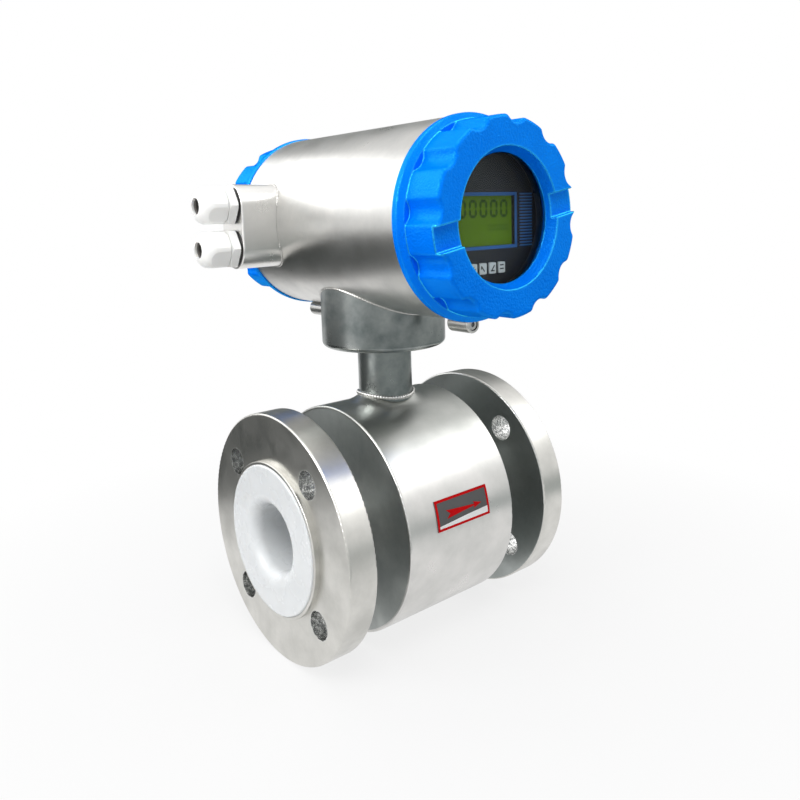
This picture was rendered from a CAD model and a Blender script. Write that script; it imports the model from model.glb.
import math

import bmesh
import bpy
from mathutils import Matrix, Vector


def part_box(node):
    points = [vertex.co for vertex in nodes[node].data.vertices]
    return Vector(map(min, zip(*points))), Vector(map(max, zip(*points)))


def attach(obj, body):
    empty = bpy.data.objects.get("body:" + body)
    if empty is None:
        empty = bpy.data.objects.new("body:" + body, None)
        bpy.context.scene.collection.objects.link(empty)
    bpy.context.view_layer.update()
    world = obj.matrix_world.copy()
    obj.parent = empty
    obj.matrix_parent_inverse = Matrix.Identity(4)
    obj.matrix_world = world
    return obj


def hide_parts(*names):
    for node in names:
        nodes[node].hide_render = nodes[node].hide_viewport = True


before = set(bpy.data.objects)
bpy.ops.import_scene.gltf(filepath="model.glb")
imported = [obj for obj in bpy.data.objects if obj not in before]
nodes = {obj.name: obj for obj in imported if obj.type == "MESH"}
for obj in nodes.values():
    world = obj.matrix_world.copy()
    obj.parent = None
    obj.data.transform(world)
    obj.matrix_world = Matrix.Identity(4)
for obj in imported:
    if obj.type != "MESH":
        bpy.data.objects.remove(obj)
for name in ("Cube", "Camera", "Light"):
    if name in bpy.data.objects:
        bpy.data.objects.remove(bpy.data.objects[name])
bpy.context.view_layer.update()
mm = 0.001


# places and sizes of the nodes that the added pieces sit on
housingLow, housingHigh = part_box("housing_shell")
collarLow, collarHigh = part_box("collar_cup")
plateLow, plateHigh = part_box("flow_arrow_plate")
bossLow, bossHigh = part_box("gland_boss")
flangeLow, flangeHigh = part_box("inlet_flange")
housingRadius = (housingHigh.x - housingLow.x) / 2
headHeight = (housingHigh.z + housingLow.z) / 2
collarRadius = collarHigh.x
flangeBack = flangeHigh.x
floorHeight = flangeLow.z
drumRadius = -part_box("drum_shell")[0].z
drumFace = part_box("drum_end_inlet")[0].x
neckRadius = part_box("neck_tube")[1].x
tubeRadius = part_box("measuring_tube")[1].z
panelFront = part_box("display_panel")[0].y
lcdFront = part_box("lcd_module")[0].y
print("frame read")


def newMaterial(name):
    material = bpy.data.materials.new(name)
    material.use_nodes = True
    tree = material.node_tree
    tree.nodes.clear()
    return material, tree


def addNode(tree, kind, values=None, **settings):
    node = tree.nodes.new(kind)
    for key, value in settings.items():
        setattr(node, key, value)
    for key, value in (values or {}).items():
        if hasattr(value, "is_output"):
            tree.links.new(value, node.inputs[key])
        else:
            node.inputs[key].default_value = value
    return node


def objectPoint(tree, scale=(1, 1, 1), turn=(0, 0, 0)):
    place = addNode(tree, "ShaderNodeTexCoord")
    mapping = addNode(tree, "ShaderNodeMapping", {"Vector": place.outputs["Object"]})
    mapping.inputs["Scale"].default_value = scale
    mapping.inputs["Rotation"].default_value = turn
    return mapping.outputs["Vector"]


def noise(tree, point, size, detail=3.0, roughness=0.55):
    values = {"Vector": point, "Scale": 1 / size, "Detail": detail, "Roughness": roughness}
    return addNode(tree, "ShaderNodeTexNoise", values).outputs["Fac"]


def ramp(tree, fac, stops):
    node = addNode(tree, "ShaderNodeValToRGB", {"Fac": fac})
    while len(node.color_ramp.elements) < len(stops):
        node.color_ramp.elements.new(0.5)
    for element, (place, colour) in zip(node.color_ramp.elements, stops):
        element.position = place
        element.color = colour if len(colour) == 4 else (*colour, 1)
    return node.outputs["Color"]


def twoTone(tree, fac, stops, dark, light):
    return ramp(tree, fac, [(stops[0], dark), (stops[1], light)])


def spread(tree, fac, low, high, fromLow=0.3, fromHigh=0.7):
    values = {"Value": fac, "From Min": fromLow, "From Max": fromHigh, "To Min": low, "To Max": high}
    return addNode(tree, "ShaderNodeMapRange", values).outputs["Result"]


def calc(tree, operation, first, second=0.0):
    return addNode(tree, "ShaderNodeMath", {0: first, 1: second}, operation=operation).outputs["Value"]


def bump(tree, height, depth, strength=1.0, under=None):
    node = addNode(tree, "ShaderNodeBump", {"Height": height, "Distance": depth, "Strength": strength})
    if under is not None:
        tree.links.new(under, node.inputs["Normal"])
    return node.outputs["Normal"]


def surface(tree, values):
    shader = addNode(tree, "ShaderNodeBsdfPrincipled", values)
    addNode(tree, "ShaderNodeOutputMaterial", {"Surface": shader.outputs["BSDF"]})


def multiply(tree, share, base, tint):
    # base colour, tinted where the share is 1
    values = {0: share, 6: base, 7: (*tint, 1)}
    return addNode(tree, "ShaderNodeMix", values, data_type="RGBA", blend_type="MULTIPLY").outputs[2]


blasted = {
    "pale": (0.72, 0.71, 0.69),
    "dull": (0.60, 0.60, 0.58),
    "roughness": (0.25, 0.36),
    "grain": 0.5 * mm,
    "grainDepth": 0.005 * mm,
    "grainDetail": (2.0, 0.7),
    "cloud": 28 * mm,
    "cloudDetail": (4.0, 0.6),
    "toneStops": (0.32, 0.66),
}
# how the drum is duller along the top, where the neck is welded on
drumTint = {
    "tone": (0.72, 0.74, 0.725),
    "heights": (42 * mm, 72 * mm),
    "wander": 12 * mm,
    "roughness": (0.27, 0.36),
}


def blastedSteel(name, pale=blasted["pale"], dull=blasted["dull"], rough=blasted["roughness"], tint=None):
    material, tree = newMaterial(name)
    point = objectPoint(tree)
    clouds = noise(tree, point, blasted["cloud"], *blasted["cloudDetail"])
    grain = noise(tree, point, blasted["grain"], *blasted["grainDetail"])
    tone = twoTone(tree, clouds, blasted["toneStops"], dull, pale)
    if tint:
        height = addNode(tree, "ShaderNodeSeparateXYZ", {"Vector": point}).outputs["Z"]
        ragged = calc(tree, "ADD", height, calc(tree, "MULTIPLY", clouds, tint["wander"]))
        tone = multiply(tree, spread(tree, ragged, 0, 1, *tint["heights"]), tone, tint["tone"])
    surface(tree, {
        "Base Color": tone,
        "Metallic": 1.0,
        "Roughness": spread(tree, clouds, rough[1], rough[0]),
        "Normal": bump(tree, grain, blasted["grainDepth"]),
    })
    return material


flangeFinish = {
    "pale": (0.71, 0.70, 0.665),
    "dull": (0.56, 0.555, 0.525),
    "toneStops": (0.32, 0.68),
    "roughness": (0.28, 0.38),
    "cloud": 24 * mm,
    "grain": 0.5 * mm,
    "grainDepth": 0.008 * mm,
    "turningPitch": 0.9 * mm,
    "turningDepth": 0.004 * mm,
    "turningStrength": 0.6,
    "holeCircle": 125 * mm,
    "holeClocking": math.radians(49),
    "holeRadius": 9.35 * mm,
    "holeRoughness": 0.20,
    "castGrain": 2.3 * mm,
    "castDetail": (3.0, 0.75),
    "castDepth": 0.8 * mm,
    "castTones": ((0.26, 0.27, 0.27), (0.92, 0.92, 0.90)),
    "castStops": (0.40, 0.58),
    "backTone": (0.64, 0.69, 0.71),
    "backMargin": 0.1 * mm,
}


def boltHoles(tree):
    # 1 inside the four bolt holes: the pattern is turned square and folded into one quarter
    turned = objectPoint(tree, turn=(flangeFinish["holeClocking"] - math.pi / 4, 0, 0))
    folded = addNode(tree, "ShaderNodeVectorMath", {0: turned}, operation="ABSOLUTE").outputs["Vector"]
    parts = addNode(tree, "ShaderNodeSeparateXYZ", {"Vector": folded})
    reach = flangeFinish["holeCircle"] / 2 * math.cos(math.pi / 4)
    squares = [calc(tree, "POWER", calc(tree, "SUBTRACT", parts.outputs[axis], reach), 2.0) for axis in "YZ"]
    away = calc(tree, "SQRT", calc(tree, "ADD", *squares))
    return calc(tree, "LESS_THAN", away, flangeFinish["holeRadius"]), parts.outputs["X"]


def latheMarks(tree, grain):
    # fine rings round the pipe's axis, over the grain
    across = objectPoint(tree, scale=(0, 1, 1))
    fromAxis = addNode(tree, "ShaderNodeVectorMath", {0: across}, operation="LENGTH").outputs["Value"]
    turns = calc(tree, "MULTIPLY", fromAxis, math.tau / flangeFinish["turningPitch"])
    fine = bump(tree, grain, flangeFinish["grainDepth"])
    rings = calc(tree, "SINE", turns)
    return bump(tree, rings, flangeFinish["turningDepth"], flangeFinish["turningStrength"], fine)


def flangeSteel():
    # turned face, dull back and rough cast walls in the bolt holes
    material, tree = newMaterial("flangeSteel")
    point = objectPoint(tree)
    clouds = noise(tree, point, flangeFinish["cloud"], *blasted["cloudDetail"])
    grain = noise(tree, point, flangeFinish["grain"], *blasted["grainDetail"])
    cast = noise(tree, point, flangeFinish["castGrain"], *flangeFinish["castDetail"])
    inHole, alongPipe = boltHoles(tree)
    baseRough = spread(tree, clouds, flangeFinish["roughness"][1], flangeFinish["roughness"][0])
    rough = addNode(tree, "ShaderNodeMix", {
        "Factor": inHole,
        "A": baseRough,
        "B": flangeFinish["holeRoughness"],
    }, data_type="FLOAT")
    face = twoTone(tree, clouds, flangeFinish["toneStops"], flangeFinish["dull"], flangeFinish["pale"])
    wall = twoTone(tree, cast, flangeFinish["castStops"], *flangeFinish["castTones"])
    onBack = calc(tree, "LESS_THAN", alongPipe, -flangeBack + flangeFinish["backMargin"])
    outside = multiply(tree, onBack, face, flangeFinish["backTone"])
    tone = addNode(tree, "ShaderNodeMix", {0: inHole, 6: outside, 7: wall}, data_type="RGBA")
    castHeight = calc(tree, "MULTIPLY", cast, inHole)
    surface(tree, {
        "Base Color": tone.outputs[2],
        "Metallic": 1.0,
        "Roughness": rough.outputs["Result"],
        "Normal": bump(tree, castHeight, flangeFinish["castDepth"], 1.0, latheMarks(tree, grain)),
    })
    return material


weldFinish = {
    "tones": ((0.44, 0.44, 0.42), (0.66, 0.65, 0.63)),
    "toneStops": (0.3, 0.7),
    "roughness": (0.24, 0.36),
    "ripple": 1.6 * mm,
    "rippleDetail": (2.0, 0.5),
    "depth": 0.08 * mm,
}


def weldSteel():
    material, tree = newMaterial("weldSteel")
    ripple = noise(tree, objectPoint(tree), weldFinish["ripple"], *weldFinish["rippleDetail"])
    surface(tree, {
        "Base Color": twoTone(tree, ripple, weldFinish["toneStops"], *weldFinish["tones"]),
        "Metallic": 1.0,
        "Roughness": spread(tree, ripple, weldFinish["roughness"][1], weldFinish["roughness"][0]),
        "Normal": bump(tree, ripple, weldFinish["depth"]),
    })
    return material


metal = {
    "grainDetail": (3.0, 0.6),
    "wear": 6 * mm,
    "wearDetail": (3.0, 0.6),
    "wearStops": (0.3, 0.7),
    "darker": 0.82,
    "rougher": 0.08,
    "smoother": 0.04,
}


def plainMetal(name, colour, rough, grainSize=0.4 * mm, depth=0.006 * mm):
    material, tree = newMaterial(name)
    point = objectPoint(tree)
    grain = noise(tree, point, grainSize, *metal["grainDetail"])
    wear = noise(tree, point, metal["wear"], *metal["wearDetail"])
    darker = tuple(metal["darker"] * c for c in colour)
    surface(tree, {
        "Base Color": twoTone(tree, wear, metal["wearStops"], darker, colour),
        "Metallic": 1.0,
        "Roughness": spread(tree, wear, rough + metal["rougher"], rough - metal["smoother"]),
        "Normal": bump(tree, grain, depth),
    })
    return material


enamel = {
    "colour": (0.0, 0.185, 0.92),
    "deep": (0.0, 0.165, 0.86),
    "toneStops": (0.35, 0.65),
    "roughness": (0.13, 0.19),
    "cloud": 30 * mm,
    "cloudDetail": (2.0, 0.5),
    "sheen": (0.05, 0.66, 1.0),
    "sheenShare": (0.04, 0.24),
    "sheenSlant": (0.15, 1.0),
    "edgeShare": 0.75,
    "edgeBend": (0.84, 0.97),
    "edge": 1.0 * mm,
    "rim": 2.4 * mm,
    "bevelSamples": 6,
    "peel": 1.3 * mm,
    "peelDetail": (1.5, 0.45),
    "peelDepth": 0.30 * mm,
}


def softened(tree, radius):
    # the normal as if the edges were rounded by a radius
    node = addNode(tree, "ShaderNodeBevel", {"Radius": radius}, samples=enamel["bevelSamples"])
    return node.outputs["Normal"]


def blueEnamel():
    # deep blue body under a pale gloss that gathers on slanted faces and thin edges
    material, tree = newMaterial("blueEnamel")
    point = objectPoint(tree)
    peel = noise(tree, point, enamel["peel"], *enamel["peelDetail"])
    cloud = noise(tree, point, enamel["cloud"], *enamel["cloudDetail"])
    skin = bump(tree, peel, enamel["peelDepth"], 1.0, softened(tree, enamel["edge"]))
    rough = spread(tree, cloud, enamel["roughness"][1], enamel["roughness"][0])
    body = addNode(tree, "ShaderNodeBsdfPrincipled", {
        "Base Color": twoTone(tree, cloud, enamel["toneStops"], enamel["deep"], enamel["colour"]),
        "Roughness": rough,
        "Specular IOR Level": 0.0,
        "Normal": skin,
    })
    sheen = addNode(tree, "ShaderNodeBsdfGlossy", {
        "Color": (*enamel["sheen"], 1),
        "Roughness": rough,
        "Normal": skin,
    })
    slant = addNode(tree, "ShaderNodeLayerWeight", {"Blend": 0.5, "Normal": skin}).outputs["Facing"]
    flat = addNode(tree, "ShaderNodeNewGeometry").outputs["True Normal"]
    bend = addNode(tree, "ShaderNodeVectorMath", {
        0: softened(tree, enamel["rim"]),
        1: flat,
    }, operation="DOT_PRODUCT").outputs["Value"]
    onEdge = spread(tree, bend, enamel["edgeShare"], 0.0, *enamel["edgeBend"])
    onSlant = spread(tree, slant, *enamel["sheenShare"], *enamel["sheenSlant"])
    mixed = addNode(tree, "ShaderNodeMixShader", {
        0: calc(tree, "ADD", onEdge, onSlant),
        1: body.outputs["BSDF"],
        2: sheen.outputs["BSDF"],
    })
    addNode(tree, "ShaderNodeOutputMaterial", {"Surface": mixed.outputs["Shader"]})
    return material


plastic = {
    "grainDetail": (2.0, 0.6),
    "tint": 12 * mm,
    "tintDetail": (3.0, 0.5),
    "tintStops": (0.3, 0.7),
    "darker": 0.93,
    "rougher": 0.05,
    "smoother": 0.03,
    "bleed": (2.0 * mm, 1.8 * mm, 1.6 * mm),
}


def mouldedPlastic(name, colour, rough, grainSize=0.6 * mm, depth=0.01 * mm, soft=0.0, specular=0.5):
    material, tree = newMaterial(name)
    point = objectPoint(tree)
    grain = noise(tree, point, grainSize, *plastic["grainDetail"])
    tint = noise(tree, point, plastic["tint"], *plastic["tintDetail"])
    darker = tuple(plastic["darker"] * c for c in colour)
    surface(tree, {
        "Base Color": twoTone(tree, tint, plastic["tintStops"], darker, colour),
        "Roughness": spread(tree, tint, rough + plastic["rougher"], rough - plastic["smoother"]),
        "Specular IOR Level": specular,
        "Subsurface Weight": soft,
        "Subsurface Radius": plastic["bleed"],
        "Subsurface Scale": 1.0,
        "Normal": bump(tree, grain, depth),
    })
    return material


pane = {
    "tint": (0.93, 0.955, 0.95),
    "smear": 20 * mm,
    "smearDetail": (3.0, 0.5),
    "roughness": (0.02, 0.05),
    "gloss": (0.01, 0.4),
    "glossSlant": (0.3, 0.95),
}


def windowGlass():
    material, tree = newMaterial("windowGlass")
    smear = noise(tree, objectPoint(tree), pane["smear"], *pane["smearDetail"])
    clear = addNode(tree, "ShaderNodeBsdfTransparent", {"Color": (*pane["tint"], 1)})
    gloss = addNode(tree, "ShaderNodeBsdfGlossy", {
        "Roughness": spread(tree, smear, pane["roughness"][1], pane["roughness"][0]),
    })
    slant = addNode(tree, "ShaderNodeLayerWeight", {"Blend": 0.25}).outputs["Facing"]
    mixed = addNode(tree, "ShaderNodeMixShader", {
        0: spread(tree, slant, *pane["gloss"], *pane["glossSlant"]),
        1: clear.outputs["BSDF"],
        2: gloss.outputs["BSDF"],
    })
    addNode(tree, "ShaderNodeOutputMaterial", {"Surface": mixed.outputs["Shader"]})
    return material


lacquer = {
    "base": (0.010, 0.115, 0.045),
    "patch": (0.016, 0.150, 0.060),
    "track": (0.030, 0.230, 0.095),
    "scale": 140.0,
    "trackWidth": 0.03,
    "smear": 4 * mm,
    "roughness": (0.28, 0.38),
    "coat": 0.4,
}


def boardLacquer():
    material, tree = newMaterial("boardLacquer")
    point = objectPoint(tree)
    tracks = addNode(tree, "ShaderNodeTexBrick", {
        "Vector": point,
        "Color1": (*lacquer["base"], 1),
        "Color2": (*lacquer["patch"], 1),
        "Mortar": (*lacquer["track"], 1),
        "Scale": lacquer["scale"],
        "Mortar Size": lacquer["trackWidth"],
    })
    smear = noise(tree, point, lacquer["smear"])
    surface(tree, {
        "Base Color": tracks.outputs["Color"],
        "Roughness": spread(tree, smear, lacquer["roughness"][1], lacquer["roughness"][0]),
        "Coat Weight": lacquer["coat"],
    })
    return material


winding = {
    "tones": ((0.30, 0.10, 0.03), (0.75, 0.33, 0.13)),
    "toneStops": (0.2, 0.8),
    "scale": 160.0,
    "distortion": 0.6,
    "depth": 0.2 * mm,
    "metallic": 0.9,
    "roughness": (0.25, 0.35),
}


def copperWinding():
    material, tree = newMaterial("copperWinding")
    turns = addNode(tree, "ShaderNodeTexWave", {
        "Vector": objectPoint(tree),
        "Scale": winding["scale"],
        "Distortion": winding["distortion"],
    }, bands_direction="Z").outputs["Fac"]
    surface(tree, {
        "Base Color": twoTone(tree, turns, winding["toneStops"], *winding["tones"]),
        "Metallic": winding["metallic"],
        "Roughness": spread(tree, turns, winding["roughness"][1], winding["roughness"][0], 0, 1),
        "Normal": bump(tree, turns, winding["depth"]),
    })
    return material


finishes = {
    "blasted": blastedSteel("blastedSteel"),
    "drum": blastedSteel("drumSteel", rough=drumTint["roughness"], tint=drumTint),
    "head": blastedSteel("headSteel", (0.69, 0.68, 0.655), (0.57, 0.57, 0.555), (0.27, 0.37)),
    "boss": blastedSteel("bossSteel", (0.88, 0.87, 0.845), (0.80, 0.79, 0.77), (0.25, 0.34)),
    "neck": blastedSteel("neckSteel", (0.38, 0.40, 0.39), (0.145, 0.168, 0.168), (0.24, 0.36)),
    "drumEnd": blastedSteel("drumEndSteel", (0.54, 0.56, 0.545), (0.40, 0.42, 0.415), (0.36, 0.48)),
    "flange": flangeSteel(),
    "weld": weldSteel(),
    "screw": plainMetal("screwSteel", (0.62, 0.62, 0.60), 0.26),
    "blue": blueEnamel(),
    "ptfe": mouldedPlastic("ptfeLiner", (0.70, 0.72, 0.73), 0.26,
                           grainSize=6 * mm, depth=0.006 * mm, soft=0.2),
    "nylon": mouldedPlastic("whiteNylon", (0.97, 0.97, 0.95), 0.30,
                            grainSize=0.8 * mm, depth=0.012 * mm, soft=0.15),
    "rubber": mouldedPlastic("blackRubber", (0.020, 0.020, 0.021), 0.62, 0.5 * mm, 0.02 * mm),
    "sealRubber": mouldedPlastic("sealRubber", (0.095, 0.088, 0.080), 0.6, 0.5 * mm, 0.02 * mm),
    "glass": windowGlass(),
    "anodised": plainMetal("blackAnodised", (0.075, 0.08, 0.088), 0.30, 0.4 * mm, 0.001 * mm),
    "panel": mouldedPlastic("blackPanel", (0.008, 0.010, 0.014), 0.40, 0.5 * mm, 0.012 * mm, 0.0, 0.25),
    "blackPlastic": mouldedPlastic("blackPlastic", (0.022, 0.023, 0.025), 0.45),
    "lcd": mouldedPlastic("lcdGreen", (0.14, 0.27, 0.003), 0.35, 2 * mm, 0.002 * mm, 0.0, 0.1),
    "lcdInk": mouldedPlastic("lcdInk", (0.045, 0.105, 0.003), 0.4, 0.6 * mm, 0.002 * mm, 0.0, 0.1),
    "lcdFaint": mouldedPlastic("lcdFaint", (0.075, 0.165, 0.003), 0.4, 0.6 * mm, 0.002 * mm, 0.0, 0.1),
    "key": mouldedPlastic("keyWhite", (0.88, 0.89, 0.86), 0.38),
    "print": mouldedPlastic("printBlue", (0.035, 0.15, 0.42), 0.4, specular=0.2),
    "keyInk": mouldedPlastic("keyInk", (0.03, 0.03, 0.03), 0.45),
    "labelRed": mouldedPlastic("labelRed", (0.52, 0.002, 0.004), 0.36, specular=0.08),
    "labelGrey": mouldedPlastic("labelGrey", (0.105, 0.105, 0.105), 0.34, specular=0.15),
    "labelWhite": mouldedPlastic("labelWhite", (0.83, 0.83, 0.83), 0.32),
    "board": boardLacquer(),
    "brass": plainMetal("spacerBrass", (0.72, 0.55, 0.26), 0.25),
    "copper": copperWinding(),
    "iron": plainMetal("magnetIron", (0.16, 0.16, 0.17), 0.5, 0.8 * mm, 0.03 * mm),
    "bush": mouldedPlastic("bushPlastic", (0.62, 0.55, 0.42), 0.42),
    "cable": mouldedPlastic("cableGrey", (0.10, 0.10, 0.11), 0.5),
}

finishOfNode = {
    "blasted": ["measuring_tube"],
    "drum": ["drum_shell"],
    "neck": ["neck_tube", "collar_cup"],
    "boss": ["gland_boss"],
    "head": ["housing_shell", "bulkhead", "lock_lug_front", "lock_lug_rear"],
    "drumEnd": ["drum_end_inlet", "drum_end_outlet"],
    "flange": ["inlet_flange", "outlet_flange"],
    "weld": ["neck_weld_bead"],
    "screw": ["lock_screw_front", "lock_screw_rear", "electrode_nuts", "electrode_front", "electrode_rear",
              "carrier_pillars", "carrier_screws", "board_screws", "earth_screw", "terminal_screws"],
    "blue": ["front_cover", "rear_cover"],
    "ptfe": ["liner"],
    "nylon": ["gland_body_upper", "gland_body_lower", "gland_nut_upper", "gland_nut_lower"],
    "rubber": ["cover_seal_front", "cover_seal_rear", "gland_washers"],
    "sealRubber": ["gland_seal_upper", "gland_seal_lower"],
    "glass": ["cover_glass"],
    "anodised": ["glass_retainer"],
    "panel": ["display_panel"],
    "blackPlastic": ["electronics_carrier", "terminal_block"],
    "lcd": ["lcd_module"],
    "key": ["key_1", "key_2", "key_3", "key_4"],
    "board": ["display_board", "main_board", "power_board"],
    "brass": ["board_spacers"],
    "copper": ["coil_upper", "coil_lower"],
    "iron": ["pole_shoe_upper", "pole_shoe_lower", "yoke", "power_transformer"],
    "bush": ["electrode_bush_front", "electrode_bush_rear"],
    "cable": ["sensor_cable"],
    "labelGrey": ["flow_arrow_plate"],
}
for finish, nodeNames in finishOfNode.items():
    for nodeName in nodeNames:
        nodes[nodeName].data.materials.clear()
        nodes[nodeName].data.materials.append(finishes[finish])
print("finishes made")


def meshObject(name, mesh, finish=None):
    thing = bpy.data.objects.new(name, mesh)
    bpy.context.scene.collection.objects.link(thing)
    if finish:
        mesh.materials.clear()
        mesh.materials.append(finishes[finish])
    return thing


def plateMesh(name, outline, thickness, holes=()):
    # flat outline in X and Y, made a plate that rises from z 0 to its thickness
    bm = bmesh.new()
    loops = [outline, *holes]
    for loop in loops:
        corners = [bm.verts.new((x, y, 0)) for x, y in loop]
        for i in range(len(corners)):
            bm.edges.new((corners[i - 1], corners[i]))
    bmesh.ops.triangle_fill(bm, use_beauty=True, edges=bm.edges[:])
    grown = bmesh.ops.extrude_face_region(bm, geom=bm.faces[:])
    for vert in grown["geom"]:
        if isinstance(vert, bmesh.types.BMVert):
            vert.co.z += thickness
    bmesh.ops.recalc_face_normals(bm, faces=bm.faces[:])
    mesh = bpy.data.meshes.new(name)
    bm.to_mesh(mesh)
    bm.free()
    return mesh


def rectangle(width, height, x=0.0, y=0.0):
    a = width / 2
    b = height / 2
    return [(x - a, y - b), (x + a, y - b), (x + a, y + b), (x - a, y + b)]


def closedCurve(name, points):
    curve = bpy.data.curves.new(name, "CURVE")
    curve.dimensions = "3D"
    spline = curve.splines.new("POLY")
    spline.points.add(len(points) - 1)
    for target, point in zip(spline.points, points):
        target.co = (*point, 1)
    spline.use_cyclic_u = True
    thing = bpy.data.objects.new(name, curve)
    bpy.context.scene.collection.objects.link(thing)
    return thing


def newTree(name, inputs):
    tree = bpy.data.node_groups.new(name, "GeometryNodeTree")
    tree.interface.new_socket("Geometry", in_out="INPUT", socket_type="NodeSocketGeometry")
    for label, kind, value in inputs:
        socket = tree.interface.new_socket(label, in_out="INPUT", socket_type="NodeSocket" + kind)
        if value is not None:
            socket.default_value = value
    tree.interface.new_socket("Geometry", in_out="OUTPUT", socket_type="NodeSocketGeometry")
    return tree, addNode(tree, "NodeGroupInput"), addNode(tree, "NodeGroupOutput")


def finishTree(tree, given, result, made):
    real = addNode(tree, "GeometryNodeRealizeInstances", {"Geometry": made})
    painted = addNode(tree, "GeometryNodeSetMaterial", {
        "Geometry": real.outputs["Geometry"],
        "Material": given.outputs["Finish"],
    })
    tree.links.new(painted.outputs["Geometry"], result.inputs["Geometry"])


def grow(thing, tree, values, name):
    # runs a tree on an object, keeps the result as a plain mesh and removes the object
    modifier = thing.modifiers.new("Build", "NODES")
    modifier.node_group = tree
    for item in tree.interface.items_tree:
        if item.item_type == "SOCKET" and item.in_out == "INPUT" and item.name in values:
            modifier[item.identifier] = values[item.name]
    bpy.context.view_layer.update()
    mesh = bpy.data.meshes.new_from_object(thing.evaluated_get(bpy.context.evaluated_depsgraph_get()))
    mesh.name = name
    thing.modifiers.remove(modifier)
    bpy.data.objects.remove(thing)
    return meshObject(name, mesh)


weld = {
    "ripplePitch": 1.9 * mm,
    "pointGap": 0.25 * mm,
    "pointsPerBead": 4,
    "sides": 12,
    "wanderScale": 180.0,
    "wanderDetail": 2.0,
    "pathPoints": 240,
    "neckStand": 0.6 * mm,
    "neckRise": 4.7 * mm,
    "seamStand": 0.1 * mm,
}
# each run's bead radius, ripple and drift as shares of it, and the seed of the drift
weldRuns = {
    "neckWeld": {"bead": 1.35 * mm, "ripple": 0.10, "drift": 0.22, "seed": 3.0},
    "collarWeld": {"bead": 0.75 * mm, "ripple": 0.04, "drift": 0.08, "seed": 7.0},
    "bossWeld": {"bead": 0.75 * mm, "ripple": 0.05, "drift": 0.12, "seed": 11.0},
    "neckTopWeld": {"bead": 0.8 * mm, "ripple": 0.05, "drift": 0.1, "seed": 13.0},
    "tubeWeld": {"bead": 1.8 * mm, "ripple": 0.08, "drift": 0.12, "seed": 17.0},
    "flangeWeld": {"bead": 1.8 * mm, "ripple": 0.08, "drift": 0.12, "seed": 23.0},
}


def weldTree():
    tree, given, result = newTree("weldRun", [
        ("Bead Radius", "Float", 0.001),
        ("Ripple Depth", "Float", 0.1),
        ("Ripple Pitch", "Float", 0.002),
        ("Drift", "Float", 0.2),
        ("Point Gap", "Float", 0.0003),
        ("Seed", "Float", 3.0),
        ("Finish", "Material", None),
    ])
    run = addNode(tree, "GeometryNodeResampleCurve", {
        "Curve": given.outputs["Geometry"],
        "Length": given.outputs["Point Gap"],
    }, mode="LENGTH")
    along = addNode(tree, "GeometryNodeSplineParameter")
    turns = calc(tree, "DIVIDE", along.outputs["Length"], given.outputs["Ripple Pitch"])
    wave = calc(tree, "SINE", calc(tree, "MULTIPLY", turns, math.tau))
    ripple = calc(tree, "MULTIPLY", wave, given.outputs["Ripple Depth"])
    place = addNode(tree, "GeometryNodeInputPosition")
    wander = addNode(tree, "ShaderNodeTexNoise", {
        "Vector": place.outputs["Position"],
        "W": given.outputs["Seed"],
        "Scale": weld["wanderScale"],
        "Detail": weld["wanderDetail"],
    }, noise_dimensions="4D")
    # the noise stays within about a quarter of its middle, so four times it is the full drift
    swing = calc(tree, "MULTIPLY", given.outputs["Drift"], 4.0)
    drift = calc(tree, "MULTIPLY", calc(tree, "SUBTRACT", wander.outputs["Fac"], 0.5), swing)
    size = calc(tree, "ADD", calc(tree, "ADD", ripple, drift), 1.0)
    circle = addNode(tree, "GeometryNodeCurvePrimitiveCircle", {
        "Resolution": weld["sides"],
        "Radius": given.outputs["Bead Radius"],
    })
    bead = addNode(tree, "GeometryNodeCurveToMesh", {
        "Curve": run.outputs["Curve"],
        "Profile Curve": circle.outputs["Curve"],
        "Scale": size,
    })
    smooth = addNode(tree, "GeometryNodeSetShadeSmooth", {"Geometry": bead.outputs["Mesh"]})
    finishTree(tree, given, result, smooth.outputs["Geometry"])
    return tree


def weldRun(kind, points, number=None):
    run = weldRuns[kind]
    name = kind if number is None else kind + "_" + str(number)
    piece = grow(closedCurve(name + "Path", points), runTree, {
        "Bead Radius": run["bead"],
        "Ripple Depth": run["ripple"],
        "Ripple Pitch": weld["ripplePitch"],
        "Drift": run["drift"],
        "Point Gap": max(weld["pointGap"], run["bead"] / weld["pointsPerBead"]),
        "Seed": run["seed"] + (number or 0),
        "Finish": finishes["weld"],
    }, name)
    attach(piece, "meter")
    return piece


def turnsRound():
    return [math.tau * i / weld["pathPoints"] for i in range(weld["pathPoints"])]


def neckSaddle(radius, height):
    # where the upright neck meets the drum, lifted a little off it
    return [(radius * math.cos(a), radius * math.sin(a),
             math.sqrt(height ** 2 - (radius * math.sin(a)) ** 2)) for a in turnsRound()]


def collarSaddle(radius, stand):
    # where the upright collar meets the housing, which lies along Y
    reach = housingRadius + stand
    return [(radius * math.cos(a), radius * math.sin(a),
             headHeight - math.sqrt(reach ** 2 - (radius * math.cos(a)) ** 2)) for a in turnsRound()]


def bossSaddle(stand):
    # obround of the gland boss carried onto the housing's curve
    side = (bossHigh.y - bossLow.y) / 2 + stand
    straight = (bossHigh.z - bossLow.z) / 2 + stand - side
    middleY = (bossHigh.y + bossLow.y) / 2
    middleZ = (bossHigh.z + bossLow.z) / 2
    points = []
    for a in turnsRound():
        lift = straight if math.sin(a) >= 0 else -straight
        y = middleY + side * math.cos(a)
        z = middleZ + side * math.sin(a) + lift
        points.append((-math.sqrt(housingRadius ** 2 - (z - headHeight) ** 2), y, z))
    return points


def ringAt(x, radius):
    return [(x, radius * math.cos(a), radius * math.sin(a)) for a in turnsRound()]


def levelRing(radius, height):
    return [(radius * math.cos(a), radius * math.sin(a), height) for a in turnsRound()]


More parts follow.
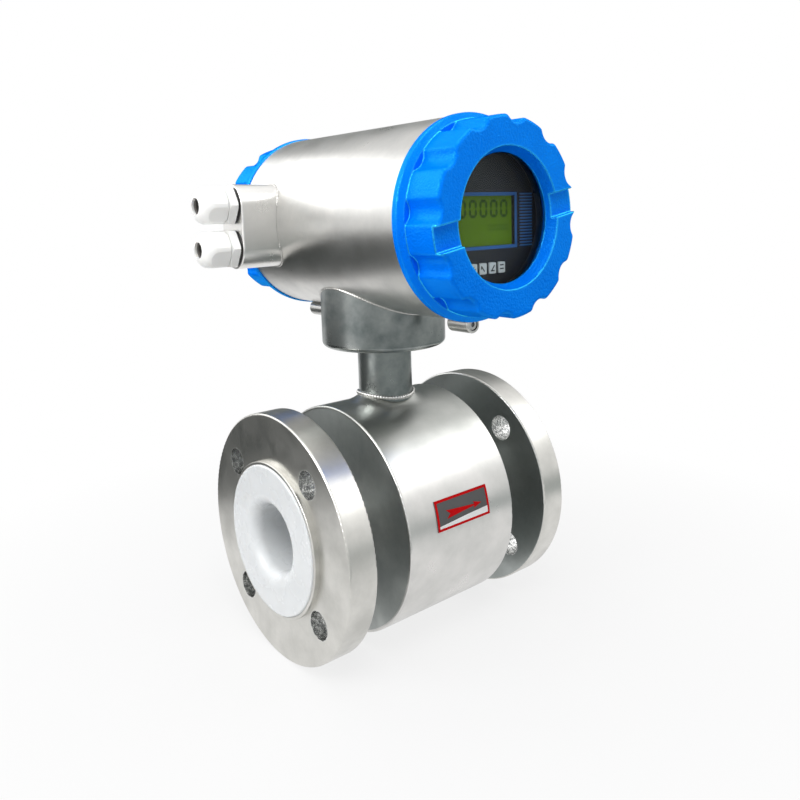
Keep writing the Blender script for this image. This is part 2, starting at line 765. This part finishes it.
runTree = weldTree()
neckBead = weldRun("neckWeld", neckSaddle(neckRadius + weld["neckStand"], drumRadius + weld["neckRise"]))
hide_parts("neck_weld_bead")
weldRun("collarWeld", collarSaddle(collarRadius, weld["seamStand"]))
weldRun("bossWeld", bossSaddle(weld["seamStand"]))
weldRun("neckTopWeld", levelRing(neckRadius, collarLow.z))
for kind, x in (("tubeWeld", drumFace), ("flangeWeld", flangeBack)):
    for number, place in enumerate((x, -x)):
        weldRun(kind, ringAt(place, tubeRadius), number)
print("weld runs laid")


display = {
    "borderWidth": 2.0 * mm,
    "borderThick": 0.15 * mm,
    "windowWidth": 49.0 * mm,
    "windowHeight": 29.6 * mm,
    "windowDrop": 1.3 * mm,
    "stripeCount": 18,
    "stripeLength": 11.3 * mm,
    "stripeStart": 29.2 * mm,
    "stripeHeight": 0.95 * mm,
    "stripePitch": 1.85 * mm,
    "digitCount": 5,
    "digitPitch": 8.85 * mm,
    "digitWidth": 6.7 * mm,
    "digitHeight": 10.8 * mm,
    "digitBar": 1.85 * mm,
    "digitGap": 0.12,
    "digitRight": 17.6 * mm,
    "digitTop": 12.6 * mm,
    "smallCount": 6,
    "smallScale": 0.36,
    "smallPitch": 0.95,
    "smallStart": (19.0 * mm, -6.0 * mm, 0),
    "inkThick": 0.06 * mm,
}
windowMiddle = Vector((0, panelFront, headHeight - display["windowDrop"]))
faceTheViewer = Matrix.Rotation(math.pi / 2, 4, "X")


def repeatTree():
    # copies the given shape along a line
    tree, given, result = newTree("repeatAlongLine", [
        ("Count", "Int", 5),
        ("Step", "Vector", (0.01, 0, 0)),
        ("Start", "Vector", (0, 0, 0)),
        ("Finish", "Material", None),
    ])
    line = addNode(tree, "GeometryNodeMeshLine", {
        "Count": given.outputs["Count"],
        "Start Location": given.outputs["Start"],
        "Offset": given.outputs["Step"],
    })
    copies = addNode(tree, "GeometryNodeInstanceOnPoints", {
        "Points": line.outputs["Mesh"],
        "Instance": given.outputs["Geometry"],
    })
    finishTree(tree, given, result, copies.outputs["Instances"])
    return tree


def standUp(thing, place):
    # from lying in X and Y to standing in X and Z at a place, facing -Y
    thing.data.transform(Matrix.Translation(place) @ faceTheViewer)


def segmentBar(length, width, x, y, upright):
    # one bar of a digit, pointed at both ends
    half = length / 2
    point = width / 2
    shape = [(-half, 0), (-half + point, -point), (half - point, -point),
             (half, 0), (half - point, point), (-half + point, point)]
    if upright:
        shape = [(-b, a) for a, b in shape]
    return [(a + x, b + y) for a, b in shape]


def joined(name, meshes):
    bm = bmesh.new()
    for mesh in meshes:
        bm.from_mesh(mesh)
        bpy.data.meshes.remove(mesh)
    whole = bpy.data.meshes.new(name)
    bm.to_mesh(whole)
    bm.free()
    return whole


def zeroDigit(scale):
    # the six outer bars of a seven-bar digit, its lower left corner at the origin
    width = display["digitWidth"] * scale
    height = display["digitHeight"] * scale
    bar = display["digitBar"] * scale
    gap = bar * display["digitGap"]
    level = width - bar - gap
    tall = (height - bar) / 2
    bars = [segmentBar(level, bar, width / 2, y, False) for y in (bar / 2, height - bar / 2)]
    for x in (bar / 2, width - bar / 2):
        for y in (bar / 2 + tall / 2, bar / 2 + tall * 1.5):
            bars.append(segmentBar(tall - gap, bar, x, y, True))
    return joined("zero", [plateMesh("bar", outline, display["inkThick"]) for outline in bars])


def windowBorder():
    wide = 2 * display["borderWidth"]
    window = rectangle(display["windowWidth"], display["windowHeight"])
    outline = rectangle(display["windowWidth"] + wide, display["windowHeight"] + wide)
    mesh = plateMesh("windowBorder", outline, display["borderThick"], [window])
    return meshObject("windowBorder", mesh, "print")


def panelStripes():
    outline = rectangle(display["stripeLength"], display["stripeHeight"])
    stripe = meshObject("stripe", plateMesh("stripe", outline, display["borderThick"]))
    middle = display["stripeStart"] + display["stripeLength"] / 2
    lowest = -display["stripePitch"] * (display["stripeCount"] - 1) / 2
    return grow(stripe, lineTree, {
        "Count": display["stripeCount"],
        "Step": (0, display["stripePitch"], 0),
        "Start": (middle, lowest, 0),
        "Finish": finishes["print"],
    }, "panelStripes")


def digitRow(name, scale, count, pitch, start, finish):
    return grow(meshObject("digit", zeroDigit(scale)), lineTree, {
        "Count": count,
        "Step": (-pitch, 0, 0),
        "Start": start,
        "Finish": finishes[finish],
    }, name)


lineTree = repeatTree()
lcdMiddle = Vector((0, lcdFront, windowMiddle.z))
smallPitch = display["digitPitch"] * display["smallScale"] * display["smallPitch"]
digitLeft = display["digitRight"] - display["digitWidth"] / 2
digitStart = (digitLeft, display["digitTop"] - display["digitHeight"], 0)
displayPrint = [
    (windowBorder(), windowMiddle, "black_plastic"),
    (panelStripes(), windowMiddle, "black_plastic"),
    (digitRow("lcdDigits", 1.0, display["digitCount"], display["digitPitch"], digitStart, "lcdInk"),
     lcdMiddle, "lcd_green"),
    (digitRow("lcdSmallDigits", display["smallScale"], display["smallCount"], smallPitch,
              display["smallStart"], "lcdFaint"), lcdMiddle, "lcd_green"),
]
for piece, place, slotName in displayPrint:
    standUp(piece, place)
    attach(piece, "meter")
print("display drawn")


keyMark = {"stroke": 0.75 * mm, "reach": 1.6 * mm, "thick": 0.05 * mm, "step": 0.01 * mm}
# the strokes of each key's mark, from and to, as shares of the reach
keyStrokes = {
    "key_1": [((-1, 0), (1, 0)), ((0, -1), (0, 1))],
    "key_2": [((-1, 1), (0.6, -1)), ((-1, -0.2), (-1, 1))],
    "key_3": [((1, 1), (-0.6, -1)), ((-1, -1), (1, -1))],
    "key_4": [((-1, 0.9), (1, 0.9)), ((-1, -0.5), (1, -0.5))],
}


def strokeOutline(start, end):
    a = Vector(start) * keyMark["reach"]
    b = Vector(end) * keyMark["reach"]
    side = (b - a).normalized().orthogonal() * keyMark["stroke"] / 2
    return [tuple(p) for p in (a - side, b - side, b + side, a + side)]


for number, (keyName, strokes) in enumerate(keyStrokes.items(), 1):
    low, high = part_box(keyName)
    meshes = []
    for i, ends in enumerate(strokes):
        meshes.append(plateMesh("stroke", strokeOutline(*ends), keyMark["thick"] + keyMark["step"] * i))
    mark = meshObject("keyMark_" + str(number), joined("keyMark", meshes), "keyInk")
    standUp(mark, Vector(((low.x + high.x) / 2, low.y, (low.z + high.z) / 2)))
    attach(mark, keyName)
print("keys marked")


label = {
    "border": 1.7 * mm,
    "printThick": 0.06 * mm,
    "lift": 0.10 * mm,
    "cutEvery": 1.0 * mm,
    "stripLeft": 1.6 * mm,
    "stripRight": 4.2 * mm,
    "stripBend": (0.1, 0.78),
    "arrowDrop": 0.4 * mm,
    "plateInside": 0.02 * mm,
    "plateOutside": 0.42 * mm,
}
# upper half of the arrow: shares of the plate's half length, and heights in millimetres
arrowHalfOutline = [(-0.50, 0.0), (-0.64, 2.75), (-0.10, 1.55), (0.43, 0.5), (0.40, 2.15), (0.72, 0.0)]
plateLength = plateHigh.x - plateLow.x
labelRadius = drumRadius + label["plateOutside"]
upperAngle = math.asin(min(1.0, plateHigh.z / labelRadius))
lowerAngle = math.asin(min(1.0, plateLow.z / (drumRadius + label["plateInside"])))
labelHeight = (upperAngle - lowerAngle) * labelRadius


def wrapOnDrum(mesh, lift):
    # flat print in X and Y, cut into narrow strips and bent round the drum
    bm = bmesh.new()
    bm.from_mesh(mesh)
    steps = int(labelHeight / label["cutEvery"])
    for i in range(1, steps):
        level = -labelHeight / 2 + labelHeight * i / steps
        everything = bm.verts[:] + bm.edges[:] + bm.faces[:]
        bmesh.ops.bisect_plane(bm, geom=everything, plane_co=(0, level, 0), plane_no=(0, 1, 0))
    middle = (upperAngle + lowerAngle) / 2
    for vert in bm.verts:
        angle = middle + vert.co.y / labelRadius
        radius = labelRadius + lift + vert.co.z
        vert.co = Vector((vert.co.x, -radius * math.cos(angle), radius * math.sin(angle)))
    bmesh.ops.recalc_face_normals(bm, faces=bm.faces[:])
    bm.to_mesh(mesh)
    bm.free()
    return mesh


def printPiece(name, outline, finish, lift, holes=()):
    mesh = wrapOnDrum(plateMesh(name, outline, label["printThick"], holes), lift)
    piece = meshObject(name, mesh, finish)
    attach(piece, "meter")


def arrowOutline():
    half = plateLength / 2
    upper = [(x * half, y * mm - label["arrowDrop"]) for x, y in arrowHalfOutline]
    lower = [(x * half, -y * mm - label["arrowDrop"]) for x, y in arrowHalfOutline[1:-1]]
    return upper + lower[::-1]


def stripOutline():
    # pale strip along the foot, higher at the right and bent between
    right = plateLength / 2 - label["border"]
    foot = -labelHeight / 2 + label["border"]
    along, rise = label["stripBend"]
    return [(-right, foot), (right, foot), (right, foot + label["stripRight"]),
            (along * right, foot + rise * label["stripRight"]), (-right, foot + label["stripLeft"])]


inner = rectangle(plateLength - 2 * label["border"], labelHeight - 2 * label["border"])
printPiece("labelBorder", rectangle(plateLength, labelHeight), "labelRed", label["lift"], [inner])
printPiece("labelStrip", stripOutline(), "labelWhite", label["lift"])
printPiece("labelArrow", arrowOutline(), "labelRed", label["lift"])
print("label printed")


# thread ridges on the covers' skirts, seen when a cover is unscrewed
coverThread = {
    "pitch": 2.0 * mm,
    "height": 0.20 * mm,
    "turns": 4.5,
    "start": 1.5 * mm,
    "skirtShare": 108.6 / 125.0,
    "pointsPerTurn": 120,
    "sides": 3,
}


def threadTree():
    tree, given, result = newTree("threadRidge", [
        ("Pitch", "Float", 0.002),
        ("Turns", "Float", 4.0),
        ("Core Radius", "Float", 0.05),
        ("Height", "Float", 0.0002),
        ("Finish", "Material", None),
    ])
    reach = calc(tree, "MULTIPLY", given.outputs["Pitch"], given.outputs["Turns"])
    path = addNode(tree, "GeometryNodeCurveSpiral", {
        "Resolution": coverThread["pointsPerTurn"],
        "Rotations": given.outputs["Turns"],
        "Start Radius": given.outputs["Core Radius"],
        "End Radius": given.outputs["Core Radius"],
        "Height": reach,
    })
    shape = addNode(tree, "GeometryNodeCurvePrimitiveCircle", {
        "Resolution": coverThread["sides"],
        "Radius": given.outputs["Height"],
    })
    ridge = addNode(tree, "GeometryNodeCurveToMesh", {
        "Curve": path.outputs["Curve"],
        "Profile Curve": shape.outputs["Curve"],
        "Fill Caps": True,
    })
    finishTree(tree, given, result, ridge.outputs["Mesh"])
    return tree


ridgeTree = threadTree()
for end, body, outward in (("front", "front_cover_turn", -1), ("rear", "rear_cover_turn", 1)):
    coverLow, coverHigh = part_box(end + "_cover")
    face = housingLow.y if outward < 0 else housingHigh.y
    skirtRadius = (coverHigh.x - coverLow.x) / 2 * coverThread["skirtShare"]
    ridge = grow(meshObject("threadSeed", bpy.data.meshes.new("threadSeed")), ridgeTree, {
        "Pitch": coverThread["pitch"],
        "Turns": coverThread["turns"],
        "Core Radius": skirtRadius,
        "Height": coverThread["height"],
        "Finish": finishes["blue"],
    }, "coverThread_" + end)
    ridge.data.transform(Matrix.Translation((0, face - outward * coverThread["start"], headHeight))
                         @ Matrix.Rotation(outward * math.pi / 2, 4, "X"))
    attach(ridge, body)
print("threads cut")


studio = {
    "floorSize": 12.0,
    "floorWhite": 0.60,
    "nearWhite": 0.80,
    "farFrom": 0.16,
    "farTo": 0.46,
    "worldStrength": 0.24,
    "lampAim": 0.09,
    "flagSteps": 24,
    "flagTint": (0.9, 1.02, 1.0),
}
# soft lamps: compass angle from the display side towards the inlet, rise, distance, width, height, power
lamps = {
    "leftLight": (98, 30, 1.6, 1.0, 0.9, 16.0),
    "backLight": (158, 27, 1.8, 1.3, 1.0, 6.0),
    "rightLight": (-50, 38, 1.9, 1.5, 1.0, 8.0),
    "topLight": (20, 84, 1.9, 1.2, 1.2, 8.0),
}
# dark cards that only reflections see: angle from, to, radius from, to, height from, to, grey
flags = [
    (112, 172, 0.32, 1.9, 0.004, 0.03, 0.05),
    (-112, 80, 0.95, 1.5, 0.004, 0.02, 0.25),
    (186, 250, 1.7, 1.5, 0.0, 1.35, 0.13),
    (-112, 80, 0.40, 0.95, 0.004, 0.004, 0.36),
]
# soft fills that only matt surfaces take up, given as the lamps are
fills = {
    "leftFill": (36, 54, 1.4, 0.7, 0.6, 10.0),
    "rightFill": (-118, 24, 1.6, 1.0, 0.8, 4.0),
}


def seenDirectly(tree):
    # 1 for what the eye, a reflection or the glass looks at, and 0 for bounced light
    path = addNode(tree, "ShaderNodeLightPath")
    seen = calc(tree, "MAXIMUM", path.outputs["Is Camera Ray"], path.outputs["Is Glossy Ray"])
    return calc(tree, "MAXIMUM", seen, path.outputs["Is Transmission Ray"])


def floorFinish():
    # paper near the meter that fades to plain white further out
    material, tree = newMaterial("studioFloor")
    away = addNode(tree, "ShaderNodeVectorMath", {0: objectPoint(tree)}, operation="LENGTH").outputs["Value"]
    far = spread(tree, away, studio["nearWhite"], 1.0, studio["farFrom"], studio["farTo"])
    paper = addNode(tree, "ShaderNodeBsdfDiffuse", {"Color": (*[studio["floorWhite"]] * 3, 1)})
    white = addNode(tree, "ShaderNodeEmission", {"Color": (1, 1, 1, 1), "Strength": 1.0})
    mixed = addNode(tree, "ShaderNodeMixShader", {
        0: calc(tree, "MULTIPLY", far, seenDirectly(tree)),
        1: paper.outputs["BSDF"],
        2: white.outputs["Emission"],
    })
    addNode(tree, "ShaderNodeOutputMaterial", {"Surface": mixed.outputs["Shader"]})
    return material


def studioFloor():
    corners = [(x, y, 0) for x, y in rectangle(studio["floorSize"], studio["floorSize"])]
    mesh = bpy.data.meshes.new("studioFloor")
    mesh.from_pydata(corners, [], [(0, 1, 2, 3)])
    floor = meshObject("studioFloor", mesh)
    mesh.materials.append(floorFinish())
    mesh.transform(Matrix.Translation((0, 0, floorHeight - 0.1 * mm)))


def flagFinish(grey):
    material, tree = newMaterial("studioFlag")
    colour = (*[grey * share for share in studio["flagTint"]], 1)
    glow = addNode(tree, "ShaderNodeEmission", {"Color": colour, "Strength": 1.0})
    addNode(tree, "ShaderNodeOutputMaterial", {"Surface": glow.outputs["Emission"]})
    return material


def compass(angle, radius, height):
    a = math.radians(angle)
    return Vector((-radius * math.sin(a), -radius * math.cos(a), height))


def studioFlag(number, angleFrom, angleTo, nearRadius, farRadius, low, high, grey):
    count = studio["flagSteps"]
    angles = [angleFrom + (angleTo - angleFrom) * i / count for i in range(count + 1)]
    verts = [compass(a, nearRadius, floorHeight + low) for a in angles]
    verts += [compass(a, farRadius, floorHeight + high) for a in angles]
    faces = [(i, i + 1, i + count + 2, i + count + 1) for i in range(count)]
    mesh = bpy.data.meshes.new("studioFlag")
    mesh.from_pydata(verts, [], faces)
    card = meshObject("studioFlag_" + str(number), mesh)
    mesh.materials.append(flagFinish(grey))
    card.visible_camera = False
    card.visible_diffuse = False
    card.visible_shadow = False
    card.visible_transmission = False


def lamp(name, angle, rise, distance, width, height, power):
    data = bpy.data.lights.new(name, "AREA")
    data.shape = "RECTANGLE"
    data.size = width
    data.size_y = height
    data.energy = power
    thing = bpy.data.objects.new(name, data)
    bpy.context.scene.collection.objects.link(thing)
    tilt = math.radians(rise)
    middle = Vector((0, 0, studio["lampAim"]))
    place = middle + compass(angle, distance * math.cos(tilt), distance * math.sin(tilt))
    thing.location = place
    thing.rotation_euler = (middle - place).to_track_quat("-Z", "Y").to_euler()
    thing.visible_camera = False
    return thing


def whiteWorld():
    # plain white to look at, and a weak light for everything else
    world = bpy.data.worlds.new("studioWorld")
    bpy.context.scene.world = world
    world.use_nodes = True
    tree = world.node_tree
    tree.nodes.clear()
    strength = spread(tree, seenDirectly(tree), studio["worldStrength"], 1.0, 0, 1)
    back = addNode(tree, "ShaderNodeBackground", {"Color": (1, 1, 1, 1), "Strength": strength})
    addNode(tree, "ShaderNodeOutputWorld", {"Surface": back.outputs["Background"]})


studioFloor()
for number, flag in enumerate(flags):
    studioFlag(number, *flag)
for name, values in lamps.items():
    lamp(name, *values)
for name, values in fills.items():
    lamp(name, *values).visible_glossy = False
whiteWorld()
bpy.context.scene.view_settings.view_transform = "Standard"

view = {
    "place": (-0.32979, -0.41643, 0.20899),
    "yaw": 39.64,
    "pitch": -8.16,
    "roll": -1.69,
    "lens": 34.16,
    "sensor": 36.0,
    "shiftUp": -0.10,
    "clip": (0.02, 50),
}


def addCamera():
    yaw = math.radians(view["yaw"])
    pitch = math.radians(view["pitch"])
    roll = math.radians(view["roll"])
    ahead = Vector((math.sin(yaw) * math.cos(pitch), math.cos(yaw) * math.cos(pitch), math.sin(pitch)))
    right = Vector((math.cos(yaw), -math.sin(yaw), 0))
    up = right.cross(ahead)
    tiltedRight = right * math.cos(roll) + up * math.sin(roll)
    tiltedUp = up * math.cos(roll) - right * math.sin(roll)
    data = bpy.data.cameras.new("viewCamera")
    data.lens = view["lens"]
    data.sensor_width = view["sensor"]
    data.shift_y = view["shiftUp"]
    data.clip_start, data.clip_end = view["clip"]
    thing = bpy.data.objects.new("viewCamera", data)
    bpy.context.scene.collection.objects.link(thing)
    turn = Matrix((tiltedRight, tiltedUp, -ahead)).transposed().to_4x4()
    thing.matrix_world = Matrix.Translation(view["place"]) @ turn
    bpy.context.scene.camera = thing


addCamera()
print("studio set")
